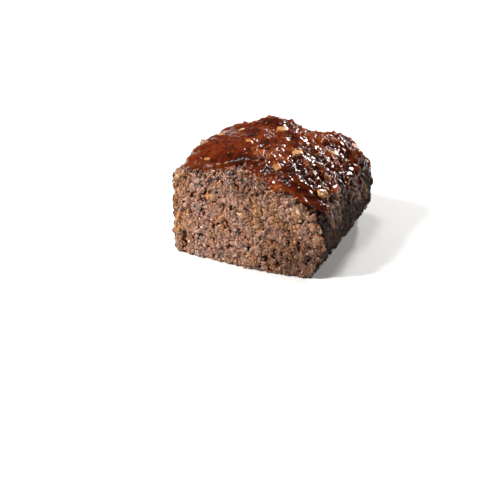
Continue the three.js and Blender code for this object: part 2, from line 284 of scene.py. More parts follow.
def glazeEdge(side, t):
    # place + bulge + two sine waves + turn (2t - 1)^8, with t from 0 to 1 along the edge
    at, slow, quick, bulge, turn = glazeEdges[side]
    sines = slow[0] * np.sin(slow[1] * t + slow[2]) + quick[0] * np.sin(quick[1] * t + quick[2])
    return at + bulge[0] * hump(t, bulge[1], bulge[2]) + sines + turn * (2 * t - 1) ** 8


glazeSheet = {
    "wide": 135.0,
    "long": 125.0,
    "columns": 288,
    "rows": 256,
    "beyond": 0.05,  # how far the grid goes on past the glaze's edges, and past its front edge
    "ahead": 0.07,
    "firstRun": 0.015,
    "longestAhead": 0.055,
    "aroundLong": 231.0,  # length of the section, and of the run if it were straight to the tip
    "runLong": 150.0,
}


def glazePlace(p, q):
    # Left and right edges blended by p, front and back edges blended by q. Ahead of the front edge the runs
    # may draw together, so that the sheet stays behind the cut.
    v = glazeSheet
    front = glazeEdge("front", p)
    ahead = front + q / v["ahead"] * np.minimum(front - v["firstRun"], v["longestAhead"])
    around = mix(glazeEdge("left", q), glazeEdge("right", q), p)
    return around, np.where(q < 0, ahead, mix(front, glazeEdge("back", p), q))


def inFromEdge(p, q):
    # Distance to the nearest of the four edges, negative outside
    wide = glazeSheet["wide"]
    long = glazeSheet["long"]
    return np.minimum.reduce([p * wide, (1 - p) * wide, q * long, (1 - q) * long])


def glazeCover(around, run):
    # The same distance from a place on the meat. q gives the side edges and p the end ones, four times over.
    p = np.full(len(around), 0.5)
    q = np.full(len(around), 0.5)
    for _ in range(4):
        left, right = (glazeEdge(side, np.clip(q, 0, 1)) for side in ("left", "right"))
        front = glazeEdge("front", np.clip(p, 0, 1))
        p = (around - left) / (right - left)
        q = (run - front) / (glazeEdge("back", np.clip(p, 0, 1)) - front)
    return inFromEdge(p, q)


bareCrust = {
    "spots": (  # x, y, z, reach and height of each bump of crust that stands out of the glaze
        (-50.0, 45.0, 67.0, 5.6, 3.6),
        (-56.0, 47.0, 61.5, 6.0, 0.5),
        (-49.5, 28.0, 67.0, 4.8, 3.0),
        (-55.5, 30.0, 61.5, 5.5, 0.5),
        (-57.5, 16.0, 56.0, 6.0, 1.5),
        (54.0, 34.0, 44.0, 7.0, 2.0),
        (56.0, 70.0, 40.0, 6.0, 2.5),
    ),
    "depth": 27.0,
    "lumpHeight": 2.0,
    "lumpSize": 3.6,
    "lumpSeed": 87,
}


def bareSpots(skin):
    # The largest of the spots' humps, and their heights times those humps added up
    best = np.zeros(len(skin))
    height = np.zeros(len(skin))
    for *centre, reach, high in bareCrust["spots"]:
        near = nearness(skin, centre, reach)
        best = np.maximum(best, near)
        height += high * near
    return best, height


glazeRim = {
    "waves": ((9.0, 2.6, 81), (4.0, 1.8, 82)),  # size, height and salt
    "cells": (3.4, 2.6, 83),
    "reach": 6.0,  # the waves and cells fade out so far in from the edge
    "tornShare": 1.3,
    "tornBack": (30, -14),  # the torn top's limits: where they begin to fade, and over what distance
    "tornRight": (24, -14),
    "tornLeft": (-48, 10),
    "tornFoot": (52, 6),
    "evenLobe": (-42.0, 9.0, 66.7),  # middle of the lobe at the front left, which has an even edge
    "evenReach": 12.0,
    "evenShare": 0.7,
    "changes": (  # x, y, z, reach, and how much further out the edge lies there
        (-43.0, 6.0, 66.7, 7.0, 5.0),
        (-20.0, 20.0, 67.0, 11.0, -5.0),
    ),
}


def tornBand(skin):
    # 1 on the torn top behind the cut, left of its crown, and 0 elsewhere
    v = glazeRim
    x, y, z = skin.T
    behind = ease(y, *v["tornBack"]) * ease(x, *v["tornRight"])
    return behind * ease(x, *v["tornLeft"]) * ease(z, *v["tornFoot"])


def raggedCover(cover, skin):
    # The distance to the edge with slow lobes and small bites added near it, most of all in the torn band
    v = glazeRim
    size, depth, salt = v["cells"]
    bites = sum(high * waves(skin, wide, seed) for wide, high, seed in v["waves"])
    bites = bites + depth * (0.5 - scattered(skin, size, salt)[0])
    share = mix(hump(np.maximum(cover, 0), 0, v["reach"]), v["tornShare"], tornBand(skin))
    edge = cover + bites * share * (1 - v["evenShare"] * nearness(skin, v["evenLobe"], v["evenReach"]))
    for *centre, reach, change in v["changes"]:
        edge = edge + change * nearness(skin, centre, reach)
    return edge - bareCrust["depth"] * bareSpots(skin)[0]


minceShape = {
    "bendSize": 5.5,
    "bend": 1.6,
    "clumpSize": 5.6,
    "clumpGap": 0.3,  # gaps are in shares of the clumps' and the grains' sizes
    "clumpHeight": 1.1,
    "grainSize": 3.0,
    "grainGap": 0.42,
    "grainHeight": 0.95,
    "grainLift": 0.4,
    "strandSize": 4.4,
    "strandWide": 0.34,
    "strandHeight": 0.55,
    "fineSize": 1.35,
    "fineGap": 0.4,
    "fineHeight": 0.35,
    "pitSize": 2.9,
    "pitDepth": 1.9,
    "pitStart": 0.25,
    "pitRim": 0.25,
    "pitPatch": 11.0,
    "seed": 301,
}


def domes(nearest, second, gap):
    # ((second - nearest) / gap)^0.7, no more than 1, times 1 - 0.7 nearest^2
    return np.clip((second - nearest) / gap, 0, 1) ** 0.7 * (1 - 0.7 * nearest**2)


def minceRelief(points, loosened=1.0):
    # Clumps, grains in them and crumbs on those, as domes with gaps between them, and strands
    # sqrt(1 - (w / wide)^2) where waves w cross zero, less pits where slow waves are highest. loosened scales
    # the strands and the pits. Gives the height, and the marks hollow, tone and tint.
    v = minceShape
    seed = v["seed"]
    loose = bent(points, v["bendSize"], v["bend"], seed)
    clump, clumpNext, clumpTone = scattered(loose, v["clumpSize"], seed + 20)
    grain, grainNext, grainTone = scattered(loose, v["grainSize"], seed + 40)
    fine, fineNext = scattered(loose, v["fineSize"], seed + 60)[:2]
    clumpRise = domes(clump, clumpNext, v["clumpGap"])
    grainRise = domes(grain, grainNext, v["grainGap"])
    fineRise = np.clip((fineNext - fine) / v["fineGap"], 0, 1) * (1 - 0.4 * fine)
    crossing = waves(loose, v["strandSize"], seed + 70) / v["strandWide"]
    strand = np.sqrt(np.clip(1 - crossing**2, 0, 1))
    dips = 0.65 * waves(loose, v["pitSize"], seed + 80) + 0.35 * waves(loose, 0.45 * v["pitSize"], seed + 81)
    patch = smooth(0.5 + waves(points, v["pitPatch"], seed + 90))
    pit = ease(dips, v["pitStart"], v["pitRim"]) * (0.65 + 0.35 * patch) * loosened
    height = v["clumpHeight"] * (clumpRise - 0.55)
    height += v["grainHeight"] * (grainRise - 0.5) + v["grainLift"] * (grainTone - 0.5)
    height += v["strandHeight"] * loosened * (strand - 0.35)
    height += v["fineHeight"] * (fineRise - 0.5) - v["pitDepth"] * pit
    # hollow is how deep a point lies between the grains and in the pits; the meat's material paints shade
    # there and a highlight on the crests with it
    hollow = np.clip(0.45 * (1 - grainRise) + 0.36 * (1 - clumpRise) - 0.16 - 0.15 * strand + 0.9 * pit, 0, 1)
    return height, {"hollow": hollow, "tone": 0.75 * grainTone + 0.25 * clumpTone, "tint": clumpTone}


meatShape = {
    "columnsAcross": 232,
    "columnsUp": 148,
    "fineRows": 32,
    "fineLength": 16.0,
    "coarseRows": 80,
    "closingRows": 34,
    "cutWide": 115.0,
    "cutHigh": 64.0,
    "rimRadius": 2.4,
    "rimFall": 0.7,
    "rimReach": 1.6,
    "crumbSize": 6.0,
    "crumbDepth": 1.0,
    "crumbSeed": 31,
    "cragSize": 7.5,
    "cragDepth": 1.7,
    "cragStretch": 2.2,
    "cragSeed": 11,
    "tearDepth": 2.2,
    "tearLength": 16.0,
    "sidesEndHeight": 45.0,
    "topStartHeight": 57.0,
    "tornBack": (30, -9),  # limits of the raw meat behind the cut
    "tornRight": (26, -12),
    "tornRaw": 0.64,
    "bareRaw": 0.7,
    "flakeSize": 4.2,
    "flakeDepth": 1.0,
    "flakeSeed": 62,
    "flakeBend": (6.0, 1.2, 61),  # size, amount and seed of the waves that bend the flakes
    "crustGrain": 1.6,
    "crustOpen": 0.3,
    "tornGrain": 1.7,
    "gap": 0.45,  # room under the glaze, and how far past its edge
    "margin": 4.0,
    "seepReach": 6.5,  # juice stains the meat so far past the glaze's edge, and so far in the torn band
    "tornSeepReach": 26.0,
    "seepFade": 6.0,
    "spill": (-43.0, 0.0, 65.5),  # where the glaze runs over the rim of the cut
    "spillReach": 5.5,
    "dripX": -8.0,  # glaze and juice stain the top of the cut round this x
    "dripReach": 25.0,
    "dripDepth": 9.0,
    "dripFade": 4.0,
    "dripWaves": (3.0, 6.0, 88),  # height, size and seed of the waves along the stain's lower edge
    "rimLine": 1.5,  # so wide is the browner line along the rim of the cut
}


def topShare(z):
    # 0 on the sides and 1 on the top
    v = meatShape
    return np.clip((z - v["sidesEndHeight"]) / (v["topStartHeight"] - v["sidesEndHeight"]), 0, 1)


def stretchedHeight(z, stretch):
    # The height at which relief is looked up: z / stretch on the sides, with a slope of 1 on the top
    v = meatShape
    change = v["topStartHeight"] - v["sidesEndHeight"]
    above = np.maximum(0, z - v["topStartHeight"])
    return z / stretch + (1 - 1 / stretch) * (0.5 * change * topShare(z)**2 + above)


def crustOver(skin, normal, cover):
    # The skin moved along its normal by crags, flakes and mince relief. Under the glaze the crags only go
    # down and there are no flakes.
    v = meatShape
    fromCut = skin[:, 1] - cutY(skin[:, 0])
    onTop = topShare(skin[:, 2])
    nearCut = onTop * (1 - np.clip(skin[:, 1] / v["tearLength"], 0, 1))
    lookup = skin.copy()
    lookup[:, 2] = stretchedHeight(skin[:, 2], v["cragStretch"])
    form = mix(v["cragDepth"], v["tearDepth"], nearCut) * crags(lookup, v["cragSize"], v["cragSeed"])
    form = np.where(cover > -v["margin"], np.minimum(0, form) - v["gap"], form)
    bare, bump = bareSpots(skin)
    edge = raggedCover(cover, skin)
    under = ease(edge, 1, 3) * (1 - bare)
    folded = bent(lookup, *v["flakeBend"])
    flakes = v["flakeDepth"] * (1 - onTop) * crags(folded, v["flakeSize"], v["flakeSeed"])
    relief, marks = minceRelief(lookup, mix(v["crustOpen"], 1, nearCut))
    amount = mix(v["crustGrain"], v["tornGrain"], nearCut) * (1 - 0.75 * under)
    rim = np.clip(1 - fromCut / v["rimRadius"], 0, 1) ** 2
    lumps = scattered(skin, bareCrust["lumpSize"], bareCrust["lumpSeed"])[0]
    bump = bump + bareCrust["lumpHeight"] * bare * (0.7 - lumps)
    move = form + flakes * (1 - under) + amount * relief + bump - v["rimFall"] * rim
    points = skin + move[:, None] * normal
    points[:, 1] += v["rimFall"] * rim - relief * hump(fromCut, 0, v["rimReach"])
    points[:, 2] = np.maximum(0, points[:, 2])
    torn = onTop * ease(fromCut, *v["tornBack"]) * ease(skin[:, 0], *v["tornRight"])
    seep = mix(v["seepReach"], v["tornSeepReach"], tornBand(skin))
    marks["raw"] = np.maximum(v["tornRaw"] * torn, v["bareRaw"] * bare**0.5)
    marks["wet"] = ease(edge, -seep, v["seepFade"]) * (1 - 0.8 * bare)
    return points, normal, marks


def crustSurface(around, run):
    # Points, normals and marks of the crust at these places on the loaf
    return crustOver(skinPoint(around, run), skinNormal(around, run), glazeCover(around, run))


def gridOf(across, up):
    # Both coordinates of every point of a grid, row by row
    return (values.ravel() for values in np.broadcast_arrays(across[None, :], up[:, None]))


def cutSurface(u, v):
    # Grid lines between the rims: left to right blended, plus bottom to top blended, less the corners
    # blended. Each point is then moved forward by clumps and mince relief, and back at the rim.
    shape = meatShape
    s = loafShape
    start = np.zeros(1)
    left, right = (crustSurface(mix(footShare(start, side), s[side + "Corner"], v), np.zeros(len(v)))[0]
                   for side in ("left", "right"))
    top = crustSurface(mix(s["leftCorner"], s["rightCorner"], u), np.zeros(len(u)))[0]
    acrossShare = u[None, :, None]
    upShare = v[:, None, None]
    bottom = mix(left[0], right[0], acrossShare)
    corners = mix(bottom, mix(left[-1], right[-1], acrossShare), upShare)
    points = mix(left[:, None], right[:, None], acrossShare) + mix(bottom, top[None], upShare) - corners
    points = points.reshape(-1, 3)
    points[:, 1] = cutY(points[:, 0])
    relief, marks = minceRelief(points)
    across, up = gridOf(u, v)
    wide = shape["cutWide"]
    toRim = np.minimum.reduce([across * wide, (1 - across) * wide, (1 - up) * shape["cutHigh"]])
    rim = np.clip(1 - toRim / shape["rimRadius"], 0, 1) ** 2
    clumps = shape["crumbDepth"] * mix(1, 0.4, rim) * crags(points, shape["crumbSize"], shape["crumbSeed"])
    points[:, 1] += shape["rimFall"] * rim - clumps - relief
    points[:, 2] = np.maximum(0, points[:, 2])
    drip = shape["dripDepth"] * hump(points[:, 0], shape["dripX"], shape["dripReach"])
    high, size, seed = shape["dripWaves"]
    below = np.tile(top[:, 2], len(v)) - points[:, 2] + high * waves(points, size, seed)
    dripped = ease(drip - below, -2, shape["dripFade"])
    marks["raw"] = 1 - 0.25 * np.clip(1 - toRim / shape["rimLine"], 0, 1)
    marks["wet"] = np.maximum(nearness(points, shape["spill"], shape["spillReach"]), 0.95 * dripped)
    normal = np.tile(np.array([0.0, -1.0, 0.0]), (len(points), 1))
    return points, normal, marks


def numbered(first, rows, columns):
    # A grid of point numbers
    return first + np.arange(rows * columns).reshape(rows, columns)


def gridFaces(numbers):
    # Four corners for each cell of a grid of point numbers
    cells = [numbers[:-1, :-1], numbers[:-1, 1:], numbers[1:, 1:], numbers[1:, :-1]]
    return np.stack([c.ravel() for c in cells], axis=1)


def halvingFaces(fine, coarse):
    # Five corners for each cell between a line of 2n + 1 points and a line of n + 1 points
    return np.stack([coarse[:-1], fine[:-2:2], fine[1::2], fine[2::2], coarse[1:]], axis=1)


def withoutRepeats(faces):
    # Four-cornered faces with two neighbouring corners in one place become triangles
    if faces.shape[1] != 4:
        return [faces]
    same = faces == np.roll(faces, -1, axis=1)
    whole = ~same.any(axis=1)
    collapsed = faces[~whole]
    dropped = same[~whole].argmax(axis=1)
    keep = (dropped[:, None] + 1 + np.arange(3)) % 4
    return [faces[whole], np.take_along_axis(collapsed, keep, axis=1)]


def meshPiece(name, points, faces, attributes, material):
    # Points that lie together are merged, and the faces of the closed surface are turned outwards
    stepsPerMillimetre = 2000
    keys = np.round(points * stepsPerMillimetre).astype(np.int64)
    kept, renumber = np.unique(keys, axis=0, return_index=True, return_inverse=True)[1:]
    renumber = renumber.ravel()
    placed = (points[kept] + frameShift) * millimetre
    parts = [part for face in faces for part in withoutRepeats(renumber[face])]
    mesh = bpy.data.meshes.new(name)
    mesh.from_pydata(placed, [], [corners for part in parts for corners in part.tolist()])
    mesh.validate()
    shell = bmesh.new()
    shell.from_mesh(mesh)
    bmesh.ops.recalc_face_normals(shell, faces=shell.faces)
    shell.to_mesh(mesh)
    shell.free()
    for attribute, values in attributes.items():
        layer = mesh.attributes.new(attribute, "FLOAT", "POINT")
        layer.data.foreach_set("value", values[kept].astype(np.float32))
    mesh.polygons.foreach_set("use_smooth", np.ones(len(mesh.polygons), bool))
    mesh.materials.append(material)
    piece = bpy.data.objects.new(name, mesh)
    bpy.context.scene.collection.objects.link(piece)
    print(name, "has", sum(len(p.vertices) - 2 for p in mesh.polygons), "triangles")
    return piece


def joined(parts):
    # Points, normals and marks of several surfaces, one after another
    points = np.concatenate([part[0] for part in parts])
    normals = np.concatenate([part[1] for part in parts])
    marks = {key: np.concatenate([part[2][key] for part in parts]) for key in parts[0][2]}
    return points, normals, marks


def crustRow(run, across, up):
    # Share of the way around for each column of a row: up the left side, over the top, down the right
    s = loafShape
    climb = np.linspace(0, 1, up + 1)
    over = np.linspace(s["leftCorner"], s["rightCorner"], across + 1)
    left = mix(footShare(run, "left"), s["leftCorner"], climb)
    right = mix(s["rightCorner"], footShare(run, "right"), climb)
    return np.concatenate([left, over[1:-1], right])


def crustRows(first, runs, across, up):
    # The crust at these runs, and its point numbers
    around = np.concatenate([crustRow(np.array([run]), across, up) for run in runs])
    columns = len(around) // len(runs)
    return crustSurface(around, np.repeat(runs, columns)), numbered(first, len(runs), columns)


def farEnd(across, up):
    # Square rings round the tip. A ring's size gives the run and the place on it the way around. Along the
    # floor each ring runs straight from foot to foot.
    s = loafShape
    nearlyOne = 0.9999
    endX, endZ = gridOf(np.linspace(-1, 1, across + 1), np.linspace(-1, 1, up + 1))
    ring = np.maximum(np.abs(endX), np.abs(endZ))
    run = ringRun(ring)
    ringX = endX / np.maximum(ring, 1e-9)
    ringZ = endZ / np.maximum(ring, 1e-9)
    leftFoot, rightFoot = (footShare(np.array([s["wallShare"]]), side) for side in ("left", "right"))
    toTop = 0.5 * (1 + ringZ)
    toRight = 0.5 * (1 + ringX)
    onFloor = (ringZ < -nearlyOne) & (ring > 0)
    around = mix(s["leftCorner"], s["rightCorner"], toRight)
    around = np.where(ringX < -nearlyOne, mix(leftFoot, s["leftCorner"], toTop), around)
    around = np.where(ringX > nearlyOne, mix(rightFoot, s["rightCorner"], toTop), around)
    around = np.where(onFloor, leftFoot, around)
    otherFoot = np.full(len(run), rightFoot[0])
    toRight = np.where(onFloor, toRight, 0)[:, None]
    skin, normal = (mix(of(around, run), of(otherFoot, run), toRight) for of in (skinPoint, skinNormal))
    return crustOver(skin, unit(normal), glazeCover(around, run))


def buildMeat(material):
    # Cut face, fine rows of crust behind it, coarser rows with half the columns, rings at the far end, and
    # one flat face below
    v = meatShape
    s = loafShape
    across = v["columnsAcross"]
    up = v["columnsUp"]
    cut = cutSurface(np.linspace(0, 1, across + 1), np.linspace(0, 1, up + 1))
    cutNumbers = numbered(0, up + 1, across + 1)
    rimLine = np.concatenate([cutNumbers[:, 0], cutNumbers[-1, 1:-1], cutNumbers[::-1, -1]])

    fineEnd = v["fineLength"] / s["straightLength"] * s["straightShare"]
    fineRuns = np.linspace(0, fineEnd, v["fineRows"] + 1)[1:]
    fine, fineNumbers = crustRows(cutNumbers.size, fineRuns, across, up)
    fineNumbers = np.concatenate([rimLine[None], fineNumbers])

    coarseRuns = np.linspace(fineEnd, s["straightShare"], v["coarseRows"] + 1)[1:]
    closingRuns = np.linspace(s["straightShare"], s["wallShare"], v["closingRows"] + 1)[1:]
    runs = np.concatenate([coarseRuns, closingRuns])
    coarse, coarseNumbers = crustRows(fineNumbers.max() + 1, runs, across // 2, up // 2)
    endNumbers = numbered(coarseNumbers.max() + 1, up // 2 + 1, across // 2 + 1)

    leftFeet = np.concatenate([fineNumbers[1:, 0], coarseNumbers[:, 0]])
    rightFeet = np.concatenate([fineNumbers[1:, -1], coarseNumbers[:, -1]])
    base = np.concatenate([cutNumbers[0], rightFeet, endNumbers[0, 1:-1][::-1], leftFeet[::-1]])
    faces = [
        gridFaces(cutNumbers),
        gridFaces(fineNumbers),
        halvingFaces(fineNumbers[-1], coarseNumbers[0]),
        gridFaces(coarseNumbers),
        gridFaces(endNumbers),
        base[None],
    ]
    points, _, marks = joined([cut, fine, coarse, farEnd(across // 2, up // 2)])
    return meshPiece("loafMeat", points, faces, marks, material), joined([cut, fine])


dice = {
    "flatness": 0.42,  # height and narrower width, as shares of a die's size
    "narrowness": 0.36,
    "gap": 0.45,
    "sink": 0.5,
    "squareness": 0.5,
    "dent": 0.16,
    "roundColumns": 28,
    "roundRows": 14,
    "seed": 501,
    "onion": (  # shares of the way across and along the glaze, size and turn
        (0.69, 0.35, 8.0, 0.4), (0.79, 0.52, 7.5, 1.1), (0.59, 0.14, 7.0, 2.2), (0.46, 0.52, 8.0, 0.2),
        (0.86, 0.15, 9.0, 0.7), (0.38, 0.28, 5.5, 2.6), (0.12, 0.45, 6.0, 0.5), (0.3, 0.85, 6.5, 2.9),
        (0.62, 0.86, 6.0, 0.3), (0.24, 0.6, 5.5, 1.7), (0.17, 0.09, 4.0, 0.4),
    ),
    "pepper": (
        (0.94, 0.3, 9.0, 1.5), (0.46, 0.16, 6.0, 1.9), (0.09, 0.7, 6.0, 1.3), (0.89, 0.74, 6.0, 2.1),
    ),
}


def dieSeat(die):
    # Middle of a die and its upward direction: half its height and a little glaze above the skin
    p, q, size = die[:3]
    around, run = glazePlace(np.array([p]), np.array([q]))
    up = skinNormal(around, run)[0]
    height = dice["flatness"] * size
    seat = skinPoint(around, run)[0] + up * (dice["gap"] + dice["sink"] + 0.5 * height)
    return seat, up, height


sauceShape = {
    "gap": 0.45,  # between the meat's skin and the glaze
    "thickness": 2.2,
    "rimWidth": 7.0,
    "frontRimWidth": 13.0,
    "frontRimShare": 0.15,
    "lumpSize": 8.0,
    "lumpHeight": 2.0,
    "lumpSeed": 53,
    "dive": 3.4,
    "diveWidth": 1.4,
    "seepWidth": 6.0,  # close to its edge the glaze sinks between the crumbs
    "seepDepth": 1.4,
    "thinShare": 0.45,  # of the full thickness, where the glaze thins out behind the torn band
    "thinBack": (42, -26),
    "thinRight": (6, -14),
    "thinLeft": (-46, 10),
    "livelyAcross": (0.26, 0.16),  # where the smooth glaze turns into streaks and lumps
    "livelyAlong": (0.6, 0.16),
    "busySpot": (8.0, 26.0, 67.0),  # where it is most broken up
    "busyReach": 13.0,
    "roughSize": 12.0,
    "calmByDice": 0.8,
    "wellRim": (0.09, 0.62, 0.2),  # height, place and width of the rise round a die, in sizes of the die
    "wellDepth": (0.28, 0, 0.42),  # and of the hollow it lies in
    "lumpShow": (0.35, 0.8),  # how much of each shows where the glaze is smooth, and where it is lively
    "streakShow": (0.05, 1),
    "threadShow": (0.01, 1),
    "grainShow": (0.03, 1),
    "streakTurn": 0.6,
    "streakLong": 8.8,
    "streakWide": 3.2,
    "streakHeight": 2.2,
    "threadHeight": 0.7,
    "flowLong": 20.0,  # slow smooth flows between the streaks
    "flowBend": (9.0, 1.6),  # size and amount of the waves that bend flows and streaks
    "flowWide": 7.0,
    "seed": 90,
    "grainHeight": 0.28,
    "coatLeft": (-28, 10),  # over the torn band the glaze is a thin coat that follows the mince
    "coatThickness": 0.7,
    "coatGrain": 0.9,
    "burntEdge": 7.0,
    "burntTop": (64, -12),
    "darkSpots": (  # x, y, z and reach of the darkest pools
        (-16.0, 31.0, 68.8, 5.5),
        (-10.0, 27.0, 68.0, 6.0),
        (-3.0, 26.0, 67.5, 6.5),
        (5.0, 20.0, 66.0, 6.0),
        (22.0, 27.0, 66.5, 6.0),
        (31.0, 26.0, 63.0, 7.0),
        (40.0, 36.0, 58.0, 7.0),
        (46.0, 60.0, 53.0, 5.0),
        (22.0, 60.0, 69.0, 7.0),
        (33.0, 16.0, 60.0, 5.5),
        (43.0, 20.0, 54.0, 5.0),
    ),
}


def streaksAlong(place, long, wide, salt):
    # Waves stretched along one direction, with waves half as long and half as high on them
    share = place / np.array([long, wide, 1.0])
    return waves(share, 1.0, salt) + 0.5 * waves(2 * share, 1.0, salt + 1)


def sauceSheet(p, q, upper):
    # Height over the skin: a bead that thickens in from the ragged edge, plus lumps, streaks that run
    # downhill and the grain of the meat below. Outside the edge the sheet dives into the meat. The mark
    # depth says how dark the glaze is, and lively where it is streaked and lumpy.
    v = sauceShape
    seed = v["seed"]
    around, run = glazePlace(p, q)
    skin = skinPoint(around, run)
    normal = skinNormal(around, run)
    x, y, z = skin.T
    torn = tornBand(skin)
    edge = raggedCover(inFromEdge(p, q), skin)
    inside = ease(q, 0, v["frontRimShare"])
    bead = smooth(edge / mix(v["frontRimWidth"], v["rimWidth"], inside)) ** mix(1.0, 0.7, inside)
    bumps = v["lumpHeight"] * np.clip(crags(skin, v["lumpSize"], v["lumpSeed"]), -0.5, 1)

    flat = [around * glazeSheet["aroundLong"], run * glazeSheet["runLong"], np.zeros(len(p))]
    flat = bent(np.stack(flat, axis=1), *v["flowBend"], seed + 1)
    a, b, c = flat.T
    cosine = math.cos(v["streakTurn"])
    sine = math.sin(v["streakTurn"])
    turned = np.stack([a * cosine - b * sine, a * sine + b * cosine, c], axis=1)
    streaks = streaksAlong(turned, v["streakLong"], v["streakWide"], seed + 2)
    threads = streaksAlong(turned, 0.5 * v["streakLong"], 0.5 * v["streakWide"], seed + 5)
    leftFlow = streaksAlong(flat, v["flowWide"], v["flowLong"], seed + 8)
    rightFlow = streaksAlong(turned, v["flowLong"], v["flowWide"], seed + 10)
    fineFlow = streaksAlong(flat, 0.3 * v["flowWide"], 0.7 * v["flowLong"], seed + 12)
    flow = np.clip(2.2 * mix(leftFlow, rightFlow, ease(p, 0.1, 0.4)), -1, 1)

    rough = smooth(0.6 + 1.5 * waves(skin, v["roughSize"], seed + 4) + 0.4 * (p - 0.5))
    rough = np.maximum(rough, nearness(skin, v["busySpot"], v["busyReach"]))
    lively = np.clip(ease(p, *v["livelyAcross"]) + ease(q, *v["livelyAlong"]), 0, 1)
    lively = lively * mix(0.45, 1, rough) * mix(0.25, 1, smooth(0.9 - 1.2 * flow))
    relief, marks = minceRelief(skin)
    seats = [(dieSeat(die)[0], die[2]) for kind in ("onion", "pepper") for die in dice[kind]]
    reaches = np.array([np.linalg.norm(skin - seat, axis=1) / size for seat, size in seats])
    wells = np.array([size for seat, size in seats])[:, None]
    busy = lively * (1 - v["calmByDice"] * hump(reaches.min(axis=0), 0, 0.7))

    height = v["thickness"] + mix(*v["lumpShow"], busy) * bumps
    height += v["streakHeight"] * mix(*v["streakShow"], busy) * streaks
    height += v["threadHeight"] * mix(*v["threadShow"], busy) * threads
    grainShow = mix(*v["grainShow"], busy) * (1 + 1.2 * ease(p, 0.72, 0.2))
    height += v["grainHeight"] * grainShow * np.clip(relief, -1.2, 2)
    rise, hollow = (high * hump(reaches, *place) for high, *place in (v["wellRim"], v["wellDepth"]))
    height += np.sum(wells * (rise - hollow), axis=0)
    band = torn * ease(x, *v["coatLeft"])
    height = mix(height, v["coatThickness"] + v["coatGrain"] * np.clip(relief, -1, 1.6), 0.85 * band)
    thin = ease(y, *v["thinBack"]) * ease(x, *v["thinRight"]) * ease(x, *v["thinLeft"])
    height = height * mix(1, v["thinShare"], thin)
    seep = mix(0.2, 1, torn) * (1 - smooth(edge / v["seepWidth"]))
    height = v["gap"] + height * bead - v["seepDepth"] * seep - v["dive"] * ease(edge, 0, -v["diveWidth"])
    height = np.where(upper, height, -v["dive"] - 0.4)

    depth = 0.5 + 0.1 * lively - mix(0.06, 0.24, lively) * bumps - 0.4 * streaks * lively
    depth = np.clip(depth + mix(0.12, 0.36, lively) * flow + 0.3 * fineFlow * (1 - lively), 0, 1) * bead
    depth = mix(depth, 0.58 + 0.6 * marks["hollow"], 0.75 * band)
    for *centre, reach in v["darkSpots"]:
        depth = mix(depth, 0.95, 0.85 * nearness(skin, centre, reach))
    depth = mix(depth, 0.9, smooth(1 - edge / v["burntEdge"]) * ease(z, *v["burntTop"]))
    marks = {"depth": depth, "lively": np.maximum(lively, 0.5 * band), "tone": marks["tone"]}
    return skin + height[:, None] * normal, normal, marks


def buildSauce(material):
    # An upper sheet and a lower one with half the columns and rows, joined all round
    v = glazeSheet
    parts = []
    sheets = []
    first = 0
    for upper, split in ((True, 1), (False, 2)):
        columns = v["columns"] // split + 1
        rows = v["rows"] // split + 1
        acrossShares = np.linspace(-v["beyond"], 1 + v["beyond"], columns)
        alongShares = np.linspace(-v["ahead"], 1 + v["beyond"], rows)
        parts.append(sauceSheet(*gridOf(acrossShares, alongShares), upper))
        sheets.append(numbered(first, rows, columns))
        first += rows * columns
    above, below = sheets
    faces = [gridFaces(above), gridFaces(below)]
    for edge in ((0, slice(None)), (-1, slice(None)), (slice(None), 0), (slice(None), -1)):
        faces.append(halvingFaces(above[edge], below[edge]))
    points, _, marks = joined(parts)
    return meshPiece("sauceGlaze", points, faces, marks, material)


def signedPower(t, exponent):
    # |t|^exponent with the sign of t
    return np.sign(t) * np.abs(t) ** exponent


def roundedBlocks(v, centres, axes, sizes, bends):
    # Many blocks at once: x = w c(a) c(b), y = d s(a) c(b) + bend x^2, z = h s(b), where c and s are the
    # signed powers of cosine and sine. Then they are dented by waves.
    columns = v["roundColumns"]
    rows = v["roundRows"]
    a = np.linspace(-np.pi, np.pi, columns + 1)[:-1][None, :]
    b = np.linspace(-0.5 * np.pi, 0.5 * np.pi, rows + 1)[:, None]
    cosA, sinA, cosB, sinB = (signedPower(f(t), v["squareness"]) for t in (a, b) for f in (np.cos, np.sin))
    ball = np.stack(np.broadcast_arrays(cosA * cosB, sinA * cosB, sinB), axis=-1).reshape(-1, 3)
    local = ball[None] * sizes[:, None]
    local[:, :, 1] += bends[:, None] * local[:, :, 0] ** 2
    points = (centres[:, None] + np.einsum("nij,nki->nkj", axes, local)).reshape(-1, 3)
    out = np.einsum("nij,nki->nkj", axes, np.repeat(ball[None], len(centres), 0)).reshape(-1, 3)
    size = np.repeat(sizes.mean(axis=1), len(ball))
    scale = sizes.mean()
    shake = waves(points, scale, v["seed"]) + 0.5 * waves(points, 0.45 * scale, v["seed"] + 1)
    points = points + out * (v["dent"] * size * shake)[:, None]
    cells = numbered(0, rows, columns)
    beside = np.roll(cells, -1, axis=1)
    quads = np.stack([cells, beside, beside + columns, cells + columns], axis=-1).reshape(-1, 4)
    faces = (quads[None] + (np.arange(len(centres)) * len(ball))[:, None, None]).reshape(-1, 4)
    return points, faces, np.tile(ball[:, 2], len(centres))


def buildDice(kind, name, material):
    # Each die lies flat on the glaze, turned by its own angle, and has a tone of its own
    v = dice
    seats = []
    axes = []
    sizes = []
    for die in v[kind]:
        size, turn = die[2:]
        seat, up, height = dieSeat(die)
        side = np.array([math.cos(turn), math.sin(turn), 0])
        side = unit(side - up * side.dot(up))
        seats.append(seat)
        axes.append([side, np.cross(up, side), up])
        sizes.append([0.5 * size, v["narrowness"] * size, 0.5 * height])
    count = len(seats)
    points, faces = roundedBlocks(v, np.array(seats), np.array(axes), np.array(sizes), np.zeros(count))[:2]
    tone = np.repeat(cellRandom(np.arange(count * 3).reshape(-1, 3), 7), len(points) // count)
    return meshPiece(name, points, [faces], {"tone": tone}, material)


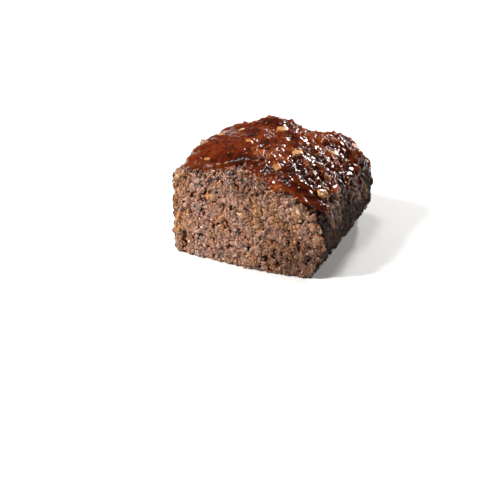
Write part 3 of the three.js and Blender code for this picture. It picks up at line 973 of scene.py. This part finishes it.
granules = {
    "count": 1600,
    "thinnest": 0.55,
    "thickest": 1.3,
    "longest": 2.8,  # times as long as thick
    "flattest": 0.75,
    "sunk": 0.5,
    "bend": 0.28,
    "lean": 0.25,
    "squareness": 0.9,
    "dent": 0.16,
    "roundColumns": 8,
    "roundRows": 6,
    "onionShare": 0.016,
    "onionSmall": 1.3,
    "onionLarge": 2.6,
    "onionForm": (1.0, 0.7, 0.4),
    "onionTint": 2.0,  # above every tint of the meat
    "seed": 77,
}


def buildGranules(places, material):
    # Short bent strands of mince, partly sunk in the cut face and in the torn crust behind it. Each lies
    # along the surface: n = its normal, a = a random direction less its share along n, b = n x a.
    v = granules
    count = v["count"]
    random = np.random.default_rng(v["seed"])
    points, normals, marks = places
    dryOrCut = (marks["wet"] < 0.7) | (marks["raw"] > 0.7)
    allowed = (points[:, 2] > 2) & (marks["hollow"] < 0.55) & dryOrCut & (marks["raw"] > 0.3)
    chosen = random.choice(np.flatnonzero(allowed), count, replace=False)
    thick = mix(v["thinnest"], v["thickest"], random.random(count) ** 1.3)
    longer = 1 + (v["longest"] - 1) * random.random(count) ** 2
    sizes = np.stack([thick * longer, thick, thick * random.uniform(v["flattest"], 1.05, count)], axis=1)
    onion = random.random(count) < v["onionShare"]
    onionSizes = mix(v["onionSmall"], v["onionLarge"], random.random((onion.sum(), 1)))
    sizes[onion] = onionSizes * np.array(v["onionForm"])
    up = unit(normals[chosen] + random.normal(0, v["lean"], (count, 3)))
    along = random.normal(size=(count, 3))
    along = unit(along - up * np.sum(along * up, axis=1, keepdims=True))
    axes = np.stack([along, np.cross(up, along), up], axis=1)
    centres = points[chosen] - normals[chosen] * (v["sunk"] * thick)[:, None]
    bends = random.uniform(-v["bend"], v["bend"], count)
    placed, faces, rise = roundedBlocks(v, centres, axes, sizes, bends)
    placed[:, 2] = np.maximum(placed[:, 2], 0.1)
    near = {key: values[chosen] for key, values in marks.items()}
    near["wet"] = 0.8 * near["wet"]
    near["tint"] = np.where(onion, v["onionTint"], mix(near["tint"], random.random(count), 0.3))
    near["tone"] = mix(near["tone"], random.random(count), 0.6)
    own = {key: np.repeat(values, len(placed) // count) for key, values in near.items()}
    # painted shade: each strand's lower side gets a hollow value, so the material darkens it
    own["hollow"] = 0.45 * ease(rise, 0.4, -0.8)
    return meshPiece("meatGranules", placed, [faces], own, material)


def feed(node, inputs):
    # Each input gets the value given for it, or a link from the socket given for it
    for name, value in inputs.items():
        if isinstance(value, NodeSocket):
            node.id_data.links.new(value, node.inputs[name])
        else:
            node.inputs[name].default_value = value


def addNode(kind, inputs, tree=None, **settings):
    # A node in the tree that its inputs come from, unless a tree is given
    tree = tree or next(value.id_data for value in inputs.values() if isinstance(value, NodeSocket))
    node = tree.nodes.new(kind)
    for name, value in settings.items():
        setattr(node, name, value)
    feed(node, inputs)
    return node


def maths(operation, *values):
    return addNode("ShaderNodeMath", dict(enumerate(values)), operation=operation).outputs[0]


def times(a, b, plus=None):
    # a b, or a b + plus
    return maths("MULTIPLY", a, b) if plus is None else maths("MULTIPLY_ADD", a, b, plus)


def ranged(value, limits, results=(0.0, 1.0)):
    # The value carried from between the limits to between the results, and held there outside the limits
    ends = zip(("From Min", "From Max", "To Min", "To Max"), (*limits, *results))
    return addNode("ShaderNodeMapRange", {"Value": value, **dict(ends)}).outputs["Result"]


def blended(share, first, second, kind="MIX"):
    # Colours are sockets or red, green and blue
    first, second = (c if isinstance(c, NodeSocket) else (*c, 1) for c in (first, second))
    inputs = {0: share, 6: first, 7: second}
    return addNode("ShaderNodeMix", inputs, data_type="RGBA", blend_type=kind).outputs[2]


def ramp(value, stops):
    node = addNode("ShaderNodeValToRGB", {"Fac": value})
    ends = node.color_ramp.elements
    while len(ends) < len(stops):
        ends.new(0.5)
    for element, (place, colour) in zip(ends, stops):
        element.position = place
        element.color = (*colour, 1)
    return node.outputs["Color"]


def noise(vector, scale, detail=2.0, roughness=0.5, output="Fac"):
    # scale is how many blotches there are in a metre
    inputs = {"Vector": vector, "Scale": scale, "Detail": detail, "Roughness": roughness}
    return addNode("ShaderNodeTexNoise", inputs).outputs[output]


def bumped(height, strength, distance):
    inputs = {"Height": height, "Strength": strength, "Distance": distance}
    return addNode("ShaderNodeBump", inputs).outputs["Normal"]


def newGroup(name, inputs, outputs):
    # A node group that takes a place and these numbers, and gives these numbers
    tree = bpy.data.node_groups.new(name, "ShaderNodeTree")
    tree.interface.new_socket("Vector", in_out="INPUT", socket_type="NodeSocketVector")
    for label, value in inputs.items():
        tree.interface.new_socket(label, in_out="INPUT", socket_type="NodeSocketFloat").default_value = value
    for label in outputs:
        tree.interface.new_socket(label, in_out="OUTPUT", socket_type="NodeSocketFloat")
    return tree, tree.nodes.new("NodeGroupInput").outputs, tree.nodes.new("NodeGroupOutput")


def crumbGrainGroup():
    # Fine crumbs: cells with dark gaps, broken up by noise
    tree, given, made = newGroup("crumbGrain", {"Cell Scale": 900.0}, ("Grain", "Height"))
    wander = noise(given["Vector"], 500.0, output="Color")
    moved = addNode("ShaderNodeVectorMath", {0: wander, 1: (0.0016,) * 3}, operation="MULTIPLY")
    place = addNode("ShaderNodeVectorMath", {0: given["Vector"], 1: moved.outputs[0]}, operation="ADD")
    cell = addNode("ShaderNodeTexVoronoi", {"Vector": place.outputs[0], "Scale": given["Cell Scale"]})
    dome = ranged(cell.outputs["Distance"], (0.1, 0.75), (1.0, 0.0))
    height = times(noise(given["Vector"], 1600.0, 3.0), 0.5, times(dome, 0.6))
    feed(made, {"Height": height, "Grain": cell.outputs["Color"]})
    return tree


def blotchGroup():
    # Slow patches and small flecks
    scales = {"Patch Scale": 80.0, "Fleck Scale": 330.0, "Fleck Share": 0.2}
    tree, given, made = newGroup("blotches", scales, ("Patch", "Fleck"))
    patch = noise(given["Vector"], given["Patch Scale"], 3.0, 0.55)
    spot = addNode("ShaderNodeTexVoronoi", {"Vector": given["Vector"], "Scale": given["Fleck Scale"]})
    shade = addNode("ShaderNodeSeparateColor", {"Color": spot.outputs["Color"]})
    rare = maths("LESS_THAN", shade.outputs["Red"], given["Fleck Share"])
    near = ranged(spot.outputs["Distance"], (0.2, 0.5), (1.0, 0.0))
    feed(made, {"Patch": ranged(patch, (0.36, 0.64)), "Fleck": times(rare, near)})
    return tree


def newMaterial(name, marks=()):
    # A material, its shader, the places in object coordinates and the marks that its meshes carry
    material = bpy.data.materials.new(name)
    material.use_nodes = True
    tree = material.node_tree
    tree.nodes.clear()
    shader = tree.nodes.new("ShaderNodeBsdfPrincipled")
    feed(tree.nodes.new("ShaderNodeOutputMaterial"), {"Surface": shader.outputs["BSDF"]})
    where = tree.nodes.new("ShaderNodeTexCoord").outputs["Object"]
    marks = [addNode("ShaderNodeAttribute", {}, tree, attribute_name=mark).outputs["Fac"] for mark in marks]
    return material, shader, where, *marks


def textured(where, scales):
    # Both groups, with so many crumbs, patches and flecks a metre and this share of the flecks seen
    cells, patches, flecks, share = scales
    given = {"Vector": where, "Patch Scale": patches, "Fleck Scale": flecks, "Fleck Share": share}
    crumb = addNode("ShaderNodeGroup", {"Vector": where, "Cell Scale": cells}, node_tree=grain)
    return crumb.outputs, addNode("ShaderNodeGroup", given, node_tree=blotches).outputs


meatLook = {
    "scales": (1100.0, 90.0, 230.0, 0.12),
    "hueScale": 1000 / 12,
    "rightHalf": (-0.012, 0.022),  # the meat is browner from left to right, and at the left rim
    "leftRim": (-0.042, -0.056),
    "paintedShadowAcross": (0.0, 0.032),  # and a painted shadow makes it darker low down on the right
    "paintedShadowDown": (0.044, 0.016),
    # colour of the painted shadow, multiplied into the cut meat
    "shade": (0.42, 0.35, 0.29),
    "family": ((0.34, (0.315, 0.193, 0.148)), (0.45, (0.382, 0.195, 0.133)),
               (0.58, (0.335, 0.165, 0.092)), (0.74, (0.36, 0.155, 0.055))),
    "light": ((0.05, (0.5, 0.45, 0.42)), (0.35, (0.8, 0.8, 0.8)),
              (0.7, (1.12, 1.1, 1.1)), (0.95, (1.55, 1.68, 1.8))),
    "onion": (0.60, 0.37, 0.19),
    "fat": (0.44, 0.38, 0.33),
    "crust": ((0.1, (0.006, 0.0035, 0.0025)), (0.42, (0.015, 0.0075, 0.0045)), (0.6, (0.04, 0.019, 0.0095)),
              (0.74, (0.095, 0.046, 0.021)), (0.83, (0.30, 0.165, 0.08))),
    "torn": ((0.15, (0.045, 0.022, 0.014)), (0.4, (0.13, 0.075, 0.052)),
             (0.65, (0.25, 0.16, 0.12)), (0.9, (0.38, 0.21, 0.10))),
    "seepScale": 1000 / 4.5,
    "seep": (0.36, 0.5),
    "stain": ((0.2, (0.035, 0.009, 0.003)), (0.45, (0.11, 0.029, 0.007)),
              (0.7, (0.29, 0.092, 0.02)), (0.9, (0.5, 0.23, 0.065))),
    # painted shade, darker and redder in the hollows, and a painted highlight, lighter and whiter on the
    # crests
    "paintedShadeAndHighlight": ((0.0, (1.15, 1.2, 1.25)), (0.15, (1.0, 1.0, 1.0)),
                  (0.42, (0.55, 0.36, 0.25)), (0.9, (0.2, 0.08, 0.035))),
    "shader": {
        "Coat Roughness": 0.18,
        "Specular IOR Level": 0.18,
        "Subsurface Weight": 0.45,
        "Subsurface Radius": (1.0, 0.4, 0.25),
        "Subsurface Scale": 0.0014,
    },
}


def meatMaterial():
    # Cut meat where raw is 1, torn crust round the middle and scorched crust at 0, all stained where wet,
    # with painted shade in the hollows, a painted highlight on the crests and a painted shadow low down on
    # the right
    look = meatLook
    marks = ("hollow", "tone", "tint", "raw", "wet")
    material, shader, where, hollow, tone, tint, raw, wet = newMaterial("minceAndCrust", marks)
    crumb, blotch = textured(where, look["scales"])
    split = addNode("ShaderNodeSeparateXYZ", {"Vector": where})
    x = split.outputs["X"]
    # painted shadow: the meat is darkened towards the lower right, by x and z
    shade = times(ranged(x, look["paintedShadowAcross"]), ranged(split.outputs["Z"], look["paintedShadowDown"]))
    jitter = times(crumb["Grain"], 0.25, times(tone, 0.75))
    hue = times(ranged(x, look["rightHalf"]), 0.12, noise(where, look["hueScale"]))
    hue = times(ranged(x, look["leftRim"]), 0.12, hue)
    hue = times(maths("SUBTRACT", tint, 0.5), 0.1, hue)
    cut = blended(1.0, ramp(hue, look["family"]), ramp(jitter, look["light"]), "MULTIPLY")
    cut = blended(maths("GREATER_THAN", tint, 1.5), cut, look["onion"])
    cut = blended(times(blotch["Fleck"], 0.5), cut, look["fat"])
    # the painted shadow is multiplied into the cut meat here
    cut = blended(times(shade, 0.95), cut, look["shade"], "MULTIPLY")

    speckle = times(crumb["Grain"], 0.3, times(tone, 0.45))
    scorch = times(blotch["Patch"], 0.25, speckle)
    crust = ramp(scorch, look["crust"])
    colour = blended(ranged(raw, (0.0, 0.45)), crust, ramp(scorch, look["torn"]))
    colour = blended(ranged(raw, (0.6, 0.95)), colour, cut)
    seep = ranged(noise(where, look["seepScale"]), look["seep"])
    stain = times(wet, seep)
    colour = blended(times(stain, 0.85), colour, ramp(jitter, look["stain"]))
    # painted shade in the hollows and a painted highlight on the crests, multiplied in by the hollow mark
    colour = blended(1.0, colour, ramp(hollow, look["paintedShadeAndHighlight"]), "MULTIPLY")
    moist = ranged(raw, (0.3, 0.9))
    rough = times(crumb["Grain"], 0.15, times(moist, -0.15, 0.56))
    feed(shader, {
        "Base Color": colour,
        "Coat Weight": times(moist, 0.5, times(stain, 0.4)),
        "Roughness": times(stain, -0.25, rough),
        "Normal": bumped(crumb["Height"], 0.6, 0.0005),
        **look["shader"],
    })
    return material


glazeLook = {
    "scales": (700.0, 110.0, 420.0, 0.05),
    "depths": ((0.0, (0.13, 0.030, 0.006)), (0.25, (0.16, 0.027, 0.004)), (0.5, (0.11, 0.0145, 0.003)),
               (0.75, (0.045, 0.006, 0.002)), (1.0, (0.016, 0.003, 0.0015))),
    "crumbs": (0.34, 0.13, 0.04),
    "flecks": (0.3, 0.12, 0.03),
    "thinEdge": (0.06, 0.008, 0.001),
    "shader": {"IOR": 1.48, "Specular IOR Level": 0.26, "Coat Roughness": 0.05},
}


def sauceMaterial():
    # Orange brown where thin and nearly black where deep, softer and less shiny along thin smooth edges
    look = glazeLook
    marks = ("depth", "lively", "tone")
    material, shader, where, depth, lively, tone = newMaterial("stickyTomatoGlaze", marks)
    crumb, blotch = textured(where, look["scales"])
    thick = times(blotch["Patch"], 0.35, times(depth, 0.9, -0.1))
    seen = times(maths("GREATER_THAN", tone, 0.8), times(lively, 0.35))
    colour = blended(seen, ramp(thick, look["depths"]), look["crumbs"])
    colour = blended(times(blotch["Fleck"], 0.6), colour, look["flecks"])
    thinEdge = times(ranged(depth, (0.4, 0.15)), ranged(lively, (0.5, 0.2)))
    rough = times(blotch["Patch"], 0.05, ranged(lively, (0.0, 0.35), (0.15, 0.09)))
    ripples = times(crumb["Height"], ranged(lively, (0.0, 1.0), (0.3, 1.0)))
    feed(shader, {
        "Base Color": blended(times(thinEdge, 0.35), colour, look["thinEdge"]),
        "Roughness": times(thinEdge, 0.1, rough),
        "Coat Weight": ranged(thinEdge, (0.0, 1.0), (0.1, 0.02)),
        "Normal": bumped(ripples, 0.12, 0.0005),
        **look["shader"],
    })
    return material


diceLook = {
    "scales": (600.0, 260.0, 500.0, 0.2),
    "flecks": (0.2, 0.05, 0.015),
    "onionFlesh": ((0.55, 0.29, 0.10), (0.34, 0.12, 0.03)),
    "pepperFlesh": ((0.40, 0.09, 0.022), (0.24, 0.03, 0.008)),
    "shader": {"Specular IOR Level": 0.4, "Coat Weight": 0.2, "Coat Roughness": 0.06},
}


def diceMaterial(name):
    look = diceLook
    material, shader, where, tone = newMaterial(name, ("tone",))
    crumb, blotch = textured(where, look["scales"])
    share = times(blotch["Patch"], 0.6, times(tone, 0.4))
    colour = blended(share, *look[name])
    feed(shader, {
        "Base Color": blended(times(blotch["Fleck"], 0.5), colour, look["flecks"]),
        "Roughness": times(crumb["Grain"], 0.12, 0.16),
        "Normal": bumped(crumb["Height"], 0.3, 0.0004),
        **look["shader"],
    })
    return material


grain = crumbGrainGroup()
blotches = blotchGroup()
meat = meatMaterial()
glaze = sauceMaterial()
onionFlesh = diceMaterial("onionFlesh")
pepperFlesh = diceMaterial("pepperFlesh")
print("materials made")

loafMeat, openPlaces = buildMeat(meat)
meatGranules = buildGranules(openPlaces, meat)
sauceGlaze = buildSauce(glaze)
onionDice = buildDice("onion", "onionDice", onionFlesh)
pepperDice = buildDice("pepper", "pepperDice", pepperFlesh)
for piece, slotName, node in (
    (loafMeat, "meat", "loaf"),
    (meatGranules, "meat", "loaf"),
    (sauceGlaze, "glaze", "sauce"),
    (onionDice, "glaze", "sauce"),
    (pepperDice, "glaze", "sauce"),
):
    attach(piece, "root")
    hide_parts(node)
print("pieces placed")

studio = {
    "floorSize": 6.0,
    "floorDrop": 0.0002,
    "paint": ((0.84, 0.84, 0.84), (0.88, 0.88, 0.88)),
    "world": 0.05,
    "aim": (0.0052, -0.0625, 0.0173),
    "turn": 22.0,
    "tilt": 27.5,
    "distance": 1.08,
    "lens": 111.6,
    "sensor": 36.0,
    "lightsAim": (0, 0, 0.04),
    "lights": (  # name, place, size, power, colour
        ("backRight", (0.45, 1.0, 0.5), 0.16, 9.0, (1.0, 0.98, 0.95)),
        ("back", (0.02, 1.1, 0.58), 0.14, 8.0, (1.0, 0.98, 0.95)),
        ("overhead", (-0.25, 0.1, 1.3), 0.3, 5.0, (1.0, 1.0, 1.0)),
        ("frontLeft", (-0.85, -0.65, 1.05), 0.27, 33.0, (1.0, 0.985, 0.96)),
    ),
}


def addObject(name, data, location=(0, 0, 0), looking=None):
    # A new object in the scene, turned to look along a direction if one is given
    thing = bpy.data.objects.new(name, data)
    thing.location = location
    if looking is not None:
        thing.rotation_euler = looking.to_track_quat("-Z", "Y").to_euler()
    bpy.context.scene.collection.objects.link(thing)
    return thing


def buildStudio():
    scene = bpy.context.scene
    scene.view_settings.view_transform = "Standard"
    world = bpy.data.worlds.new("paleRoom")
    world.use_nodes = True
    feed(world.node_tree.nodes["Background"], {"Color": (1, 1, 1, 1), "Strength": studio["world"]})
    scene.world = world
    half = 0.5 * studio["floorSize"]
    corners = [(x * half, y * half, -studio["floorDrop"]) for x, y in ((-1, -1), (1, -1), (1, 1), (-1, 1))]
    mesh = bpy.data.meshes.new("floor")
    mesh.from_pydata(corners, [], [(0, 1, 2, 3)])
    material, shader, where = newMaterial("paleFloor")
    paint = blended(noise(where, 1000 / 300), *studio["paint"])
    feed(shader, {"Base Color": paint, "Roughness": 0.6})
    mesh.materials.append(material)
    addObject("floor", mesh)
    for name, spot, size, power, colour in studio["lights"]:
        lamp = bpy.data.lights.new(name, "AREA")
        lamp.shape = "SQUARE"
        lamp.size = size
        lamp.energy = power
        lamp.color = colour
        addObject(name, lamp, spot, Vector(studio["lightsAim"]) - Vector(spot))


def buildCamera():
    turn = math.radians(studio["turn"])
    tilt = math.radians(studio["tilt"])
    back = Vector((math.sin(turn) * math.cos(tilt), -math.cos(turn) * math.cos(tilt), math.sin(tilt)))
    lens = bpy.data.cameras.new("camera")
    lens.lens = studio["lens"]
    lens.sensor_width = studio["sensor"]
    place = Vector(studio["aim"]) + back * studio["distance"]
    bpy.context.scene.camera = addObject("camera", lens, place, -back)


buildStudio()
buildCamera()
print("studio ready")
